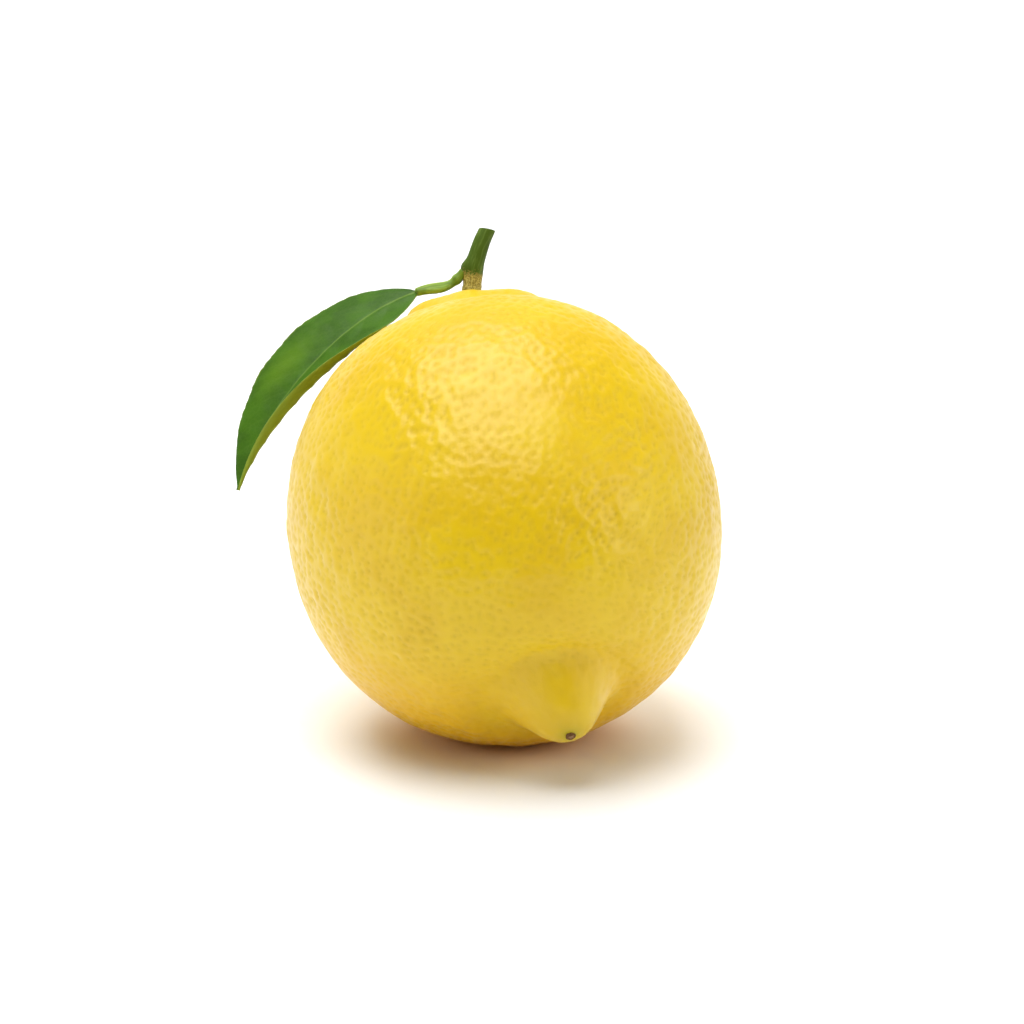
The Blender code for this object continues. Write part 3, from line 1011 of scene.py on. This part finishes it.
@dataclass
class LeafStalk:
    """The petiole: a thin round neck that widens into narrow wings and pinches at the blade."""

    form: FruitForm
    controls: tuple[Place, ...] = (
        (-6.0, 27.3, 31.8),
        (-8.4, 26.9, 28.0),
        (-10.4, 26.2, 29.7),
        (-13.5, 25.2, 28.6),
    )
    radius: float = 0.64 * MM
    wing_start: float = 0.25
    wing_width: float = 1.6
    knuckle: float = 0.28
    stations: int = 150
    segments: int = 72
    slot: str = "petiole"

    def build(self) -> bpy.types.Object:
        """Build the leaf stalk as oval sections carried along its route.

        Formula: the wings grow and fade as a raised sine; each section is an oval whose top has a
        low ridge between two grooves, a cosine of four turns faded to the upper side.

        Returns:
            The piece.
        """
        share = np.linspace(0.0, 1.0, self.stations)
        points, direction = Route(self.controls, self.form.centre).walk(share)
        across, up = cross_axes(direction, np.array([0.0, 0.0, 1.0]))
        wing = np.sin(math.pi * np.clip((share - self.wing_start) / (1 - self.wing_start), 0.0, 1.0)) ** 1.5
        ends = np.sqrt(np.clip(share / 0.03, 0.05, 1.0)) * np.sqrt(np.clip((1 - share) / 0.03, 0.05, 1.0))
        knuckle = self.knuckle * np.exp(-(((share - 0.17) / 0.06) ** 2))
        tall = (self.radius * (1 + 0.15 * wing + knuckle) * ends)[:, None]
        wide = (self.radius * (1 + self.wing_width * wing + knuckle) * ends)[:, None]
        turn = around(self.segments)[None, :]
        upper = np.clip(np.sin(turn), 0.0, 1.0)
        ridge = 0.12 * wing[:, None] * np.cos(4 * (turn - math.pi / 2)) * upper
        sideways = wide * np.sign(np.cos(turn)) * np.abs(np.cos(turn)) ** 0.9
        lift = tall * (np.sin(turn) + ridge)
        rings = points[:, None] + across[:, None] * sideways[..., None] + up[:, None] * lift[..., None]
        length = np.linalg.norm(np.diff(points, axis=0), axis=1).sum()
        flat = np.stack([sideways, lift, length * share[:, None] + 0 * turn], axis=-1)
        edge = np.abs(np.cos(turn)) ** 6 * wing[:, None] + 0.6 * upper * np.exp(-((np.cos(turn) / 0.3) ** 2))
        piece = new_piece("petiole", skin_points(rings), *ring_faces(self.stations, self.segments))
        store(piece, bark=skin_points(flat), ridge=skin_marks(0.35 * edge + 0 * share[:, None]))
        return piece

    def dress(self, piece: bpy.types.Object) -> None:
        """Give the leaf stalk its satin skin."""
        finish_piece(piece, LeafStalkSkin().material())


@dataclass
class LeafBlade:
    """The leaf blade: a tapered trough along its midrib, with real thickness, veins and margin."""

    form: FruitForm
    controls: tuple[Place, ...] = (
        (-13.1, 25.3, 28.7),
        (-23.3, 23.1, 26.1),
        (-36.0, 14.5, 14.5),
        (-39.7, 8.0, 2.4),
    )
    half_width: float = 8.7 * MM
    thickness: float = 0.4 * MM
    margin_thinness: float = 0.2
    tip_width: float = 0.03
    fullest: float = 0.84
    upper_face: Place = (-0.49, -0.44, 0.75)
    far_slope: tuple[float, float] = (2.0, 14.0)
    far_curl: tuple[float, float] = (-10.0, -10.0)
    near_slope: tuple[float, float] = (-7.0, 8.0)
    near_curl: tuple[float, float] = (15.0, 150.0)
    stations: int = 260
    columns: int = 111
    vein_pitch: float = 4.6 * MM
    vein_lean: float = 0.9
    vein_bend: float = 0.045 / MM
    slot: str = "leaf"

    def sheet(self, share: np.ndarray, reach: np.ndarray) -> tuple[np.ndarray, np.ndarray, np.ndarray]:
        """Lay out the blade's middle surface.

        Formula: each half leaves the midrib at its slope, and the slope grows with the square of
        the reach, so the offsets are the running means of its cosine and sine over the reach.

        Args:
            share: Shares of the midrib, from the joint to the tip.
            reach: Shares of the half width, from -1 at the near margin to 1 at the far one.

        Returns:
            The points, their distance along the midrib and their distance across it.
        """
        points, direction = Route(self.controls, self.form.centre).walk(share)
        far, up = cross_axes(direction, np.array(self.upper_face))
        body = np.sin(math.pi * share**self.fullest)
        width = self.half_width * np.maximum(body, self.tip_width + 0.03 * (1 - share))
        t = share[:, None]
        far_side = reach[None, :] > 0
        slope = np.where(far_side, self.along(self.far_slope, t), self.along(self.near_slope, t))
        curl = np.where(far_side, self.along(self.far_curl, t), self.along(self.near_curl, t))
        spread = np.abs(reach)[None, :, None] * (np.arange(20) + 0.5) / 20
        slopes = np.radians(slope[..., None] + curl[..., None] * spread**2)
        length = np.concatenate([[0.0], np.linalg.norm(np.diff(points, axis=0), axis=1).cumsum()])
        whole = 2 * math.pi * length
        scallops = np.cos(whole / (1.35 * MM)) + 0.7 * np.cos(whole / (2.1 * MM) + 1)
        waves = 0.16 * MM * np.cos(whole / (8.5 * MM) + 0.6)
        edge = (0.045 * MM * scallops + waves)[:, None] * np.abs(reach) ** 8 * body[:, None]
        across = (width[:, None] + edge) * reach * np.cos(slopes).mean(axis=-1)
        lift = (width[:, None] + edge) * np.abs(reach) * np.sin(slopes).mean(axis=-1)
        laid = points[:, None] + far[:, None] * across[..., None] + up[:, None] * lift[..., None]
        return laid, length[:, None] + 0 * reach, width[:, None] * reach

    @staticmethod
    def along(ends: tuple[float, float], share: np.ndarray) -> np.ndarray:
        """A value that changes evenly from the joint to the tip."""
        return ends[0] + (ends[1] - ends[0]) * share

    @staticmethod
    def both(upper: np.ndarray, lower: np.ndarray) -> np.ndarray:
        """List the values of the upper face and then those of the underside, back across."""
        return np.concatenate([upper, lower[:, ::-1]], axis=1)

    def veins(
        self, along: np.ndarray, across: np.ndarray, reach: np.ndarray
    ) -> tuple[np.ndarray, np.ndarray]:
        """Lay the side veins over the blade.

        Formula: a vein's foot lies at the distance along less a lean and a bend times the distance
        across; the vein is a bell curve round every whole pitch, and the swell between two veins a
        cosine of one pitch. The two halves' veins are half a pitch apart.

        Args:
            along: Distance along the midrib.
            across: Distance across it.
            reach: Share of the half width.

        Returns:
            The veins and the swells between them, both faded at the margin.
        """
        away = np.abs(across)
        foot = along - self.vein_lean * away - self.vein_bend * away**2
        foot = foot + np.where(reach > 0, 0.5, 0.0) * self.vein_pitch
        foot = foot + 0.35 * MM * np.sin(along / (3.1 * MM)) * np.abs(reach)
        part = foot / self.vein_pitch
        off = (part - np.round(part)) * self.vein_pitch
        fade = (1 - np.abs(reach) ** 3) * smooth_step(0.0, 0.06, np.abs(reach))
        return np.exp(-((off / (0.22 * MM)) ** 2)) * fade, -np.cos(2 * math.pi * part) * fade

    def build(self) -> bpy.types.Object:
        """Build the blade as a closed shell: the upper face, the margin and the underside.

        Returns:
            The piece.
        """
        share = np.linspace(0.0, 1.0, self.stations)
        q = np.linspace(-1.0, 1.0, self.columns)
        reach = np.sign(q) * np.abs(q) ** 1.2
        sheet, along, across = self.sheet(share, reach)
        normal = unit(np.cross(np.gradient(sheet, axis=0), np.gradient(sheet, axis=1)))
        if (normal @ np.array(self.upper_face)).mean() < 0:
            normal = -normal
        body = 1 - (1 - self.margin_thinness) * np.abs(reach) ** 6
        vein, swell = self.veins(along, across, reach[None, :])
        rib_width = (0.42 - 0.3 * share[:, None]) * MM
        rib = np.exp(-((across / rib_width) ** 2))
        rib_height = (1 - 0.85 * share[:, None]) * rib
        half = self.thickness / 2 * body
        rough = 0.012 * MM * uneven(sheet, 1.1 * MM, seed=41)
        over = half + 0.03 * MM * swell - 0.015 * MM * vein - 0.1 * MM * rib_height + rough
        top = sheet + normal * over[..., None]
        under = half - 0.04 * MM * swell + 0.06 * MM * vein + 0.34 * MM * rib_height + rough
        bottom = sheet - normal * under[..., None]
        rings = self.both(top, bottom)
        line = np.exp(-((across / (0.45 * rib_width)) ** 2))
        rim = smooth_step(0.955, 1.0, np.abs(reach))[None, :] + 0 * along
        blotch = np.exp(-(((along - 22 * MM) / (5 * MM)) ** 2) - ((across - 4.2 * MM) / (2.4 * MM)) ** 2)
        level = np.ones_like(along)
        spread = np.stack([along, across, 0 * along], axis=-1)
        drawn = np.maximum(0.6 * line, 0.05 * vein), np.maximum(0.8 * line, 0.4 * vein)
        piece = new_piece("leaf_blade", skin_points(rings), *ring_faces(self.stations, 2 * self.columns))
        store(
            piece,
            blade=skin_points(self.both(spread, spread + [0, 0, 5 * MM])),
            upper=skin_marks(self.both(level, 0 * level)),
            vein=skin_marks(self.both(*drawn)),
            rim=skin_marks(0.7 * self.both(rim, rim)),
            blotch=skin_marks(0.65 * self.both(blotch, 0 * blotch)),
        )
        return piece

    def dress(self, piece: bpy.types.Object) -> None:
        """Give the leaf its cuticle."""
        finish_piece(piece, LeafCuticle().material())


# --------------------------------------------------------------------------- studio


class Softbox(Enum):
    """The lamps of the studio, by where they stand."""

    OVERHEAD = "overhead"
    LEFT = "left"
    RIGHT = "right"
    BACK = "back"


@dataclass(frozen=True)
class Panel:
    """One soft lamp: its middle, its sides, its power, and what it faces if not the fruit.

    A lamp that isn't mirrored lights things without showing in their gloss.
    """

    place: Place
    width: float
    depth: float
    power: float
    target: Place | None = None
    mirrored: bool = True


@dataclass
class Studio:
    """A white table under a large overhead lamp, with a camera a little above the fruit."""

    aim: Place = (0.58 * MM, 2.44 * MM, 32.9 * MM)
    elevation: float = math.radians(16.0)
    distance: float = 587 * MM
    lens: float = 140.0
    floor_radius: float = 6.0
    floor_colour: str = "#f7f7f7"
    floor_shade: str = "#f5f5f5"
    floor_grain: float = 40 * MM
    floor_corners: int = 64
    # Painted shadow: the warm tint painted into the card round the flat spot.
    painted_shadow_colour: str = "#ecb55c"
    painted_shadow_core: float = 4 * MM
    painted_shadow_reach: float = 23 * MM
    painted_shadow_strength: float = 0.9
    sky_colour: str = "#ffffff"
    sky_dim: float = 0.15
    panels: dict[Softbox, Panel] = field(
        default_factory=lambda: {
            Softbox.OVERHEAD: Panel((-0.1, 0.0, 0.8), 0.95, 0.7, 10.0),
            Softbox.LEFT: Panel((-0.75, -0.25, 0.22), 0.5, 0.5, 1.2),
            Softbox.RIGHT: Panel((0.7, -0.28, 0.38), 0.45, 0.45, 2.0),
            Softbox.BACK: Panel((0.0, 2.6, 1.6), 2.6, 1.2, 60.0, (0.0, 1.6, 0.0), False),
        }
    )

    def build_camera(self) -> None:
        """Stand the camera at its elevation and distance, looking at its aim."""
        camera = bpy.data.cameras.new("camera")
        camera.lens = self.lens
        camera.sensor_width = 36.0
        camera.clip_start = 0.01
        camera.clip_end = 50.0
        holder = bpy.data.objects.new("camera", camera)
        back = Vector((0.0, -math.cos(self.elevation), math.sin(self.elevation)))
        holder.location = Vector(self.aim) + back * self.distance
        holder.rotation_euler = (-back).to_track_quat("-Z", "Y").to_euler()
        bpy.context.scene.collection.objects.link(holder)
        bpy.context.scene.camera = holder

    def build_floor(self) -> None:
        """Lay the pale table: one round sheet whose faces point up, with a warm shadow painted into it round
        the fruit's flat spot.
        """
        turn = around(self.floor_corners)
        rim = np.column_stack([np.cos(turn), np.sin(turn), 0 * turn]) * self.floor_radius
        mesh = bpy.data.meshes.new("table_sheet")
        mesh.from_pydata(rim.tolist(), [], [list(range(self.floor_corners))])
        floor = bpy.data.objects.new("table_sheet", mesh)
        bpy.context.scene.collection.objects.link(floor)
        # Matt white card: it throws light back up under the fruit; the warm tone of its shadow near the
        # fruit is painted into its colour.
        material, tree, shader = new_material("white_card_matt", Roughness=0.9, Specular_IOR_Level=0.0)
        place = add_node(tree, "TexCoord").outputs["Object"]
        grain = add_node(tree, "TexNoise", {"Vector": place, "Scale": 1 / self.floor_grain}).outputs["Fac"]
        near = add_node(tree, "VectorMath", {0: place}, operation="LENGTH").outputs["Value"]
        # Painted shadow: a warm brown tint, strongest round the flat spot and gone by its outer reach,
        # stands in for the fruit's warm bounced light in its shadow.
        fade = {
            "Value": near,
            "From Min": self.painted_shadow_core,
            "From Max": self.painted_shadow_reach,
            "To Min": self.painted_shadow_strength,
            "To Max": 0.0,
        }
        painted_shadow = add_node(tree, "MapRange", fade, **SMOOTH).outputs[0]
        colour = linear(self.floor_colour)
        for share, over in ((grain, self.floor_shade), (painted_shadow, self.painted_shadow_colour)):
            layer = {MIX_SHARE: share, MIX_FIRST: colour, MIX_SECOND: linear(over)}
            colour = add_node(tree, "Mix", layer, **COLOURS).outputs[MIX_COLOUR]
        connect(tree, shader, {"Base Color": colour})
        mesh.materials.append(material)

    def build_lamps(self) -> None:
        """Hang the soft lamps, each facing the middle of the fruit."""
        for name, panel in self.panels.items():
            lamp = bpy.data.lights.new(f"softbox_{name.value}", "AREA")
            lamp.shape = "RECTANGLE"
            lamp.size, lamp.size_y = panel.width, panel.depth
            lamp.energy = panel.power
            holder = bpy.data.objects.new(f"softbox_{name.value}", lamp)
            holder.location = panel.place
            towards = Vector(panel.target or self.aim) - holder.location
            holder.rotation_euler = towards.to_track_quat("-Z", "Y").to_euler()
            holder.visible_camera = False
            holder.visible_glossy = panel.mirrored
            bpy.context.scene.collection.objects.link(holder)

    def build_sky(self) -> None:
        """Surround the table with white walls, darker overhead and on the camera's side."""
        world = bpy.data.worlds.new("studio_walls")
        world.use_nodes = True
        tree = world.node_tree
        place = add_node(tree, "TexCoord").outputs["Generated"]
        parts = add_node(tree, "SeparateXYZ", {0: place}).outputs
        overhead = {"Value": parts["Z"], "From Min": 0.1, "From Max": 0.6}
        overhead |= {"To Min": 1.0, "To Max": self.sky_dim}
        behind = {"Value": parts["Y"], "From Min": -0.6, "From Max": 0.25}
        behind |= {"To Min": self.sky_dim, "To Max": 1.0}
        shares = [add_node(tree, "MapRange", fade, **SMOOTH).outputs[0] for fade in (overhead, behind)]
        strength = add_node(tree, "Math", dict(enumerate(shares)), operation="MULTIPLY").outputs[0]
        walls = {"Color": linear(self.sky_colour), "Strength": strength}
        connect(tree, tree.nodes["Background"], walls)
        bpy.context.scene.world = world
        bpy.context.scene.view_settings.view_transform = "Standard"

    def build(self) -> None:
        """Set up the camera, table, lamps and walls."""
        self.build_camera()
        self.build_floor()
        self.build_lamps()
        self.build_sky()


# --------------------------------------------------------------------------- the whole


def main() -> None:
    """Build the lemon piece by piece, then the studio."""
    logging.basicConfig(level=logging.INFO, format="%(name)s: %(message)s")
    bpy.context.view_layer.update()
    form = FruitForm()
    fruit = Fruit(form, GlandPattern())
    for part in (fruit, StyleScar(form), Calyx(form), Stem(form), LeafStalk(form), LeafBlade(form)):
        part.dress(part.build())
    Studio().build()


if __name__ == "__main__":
    main()
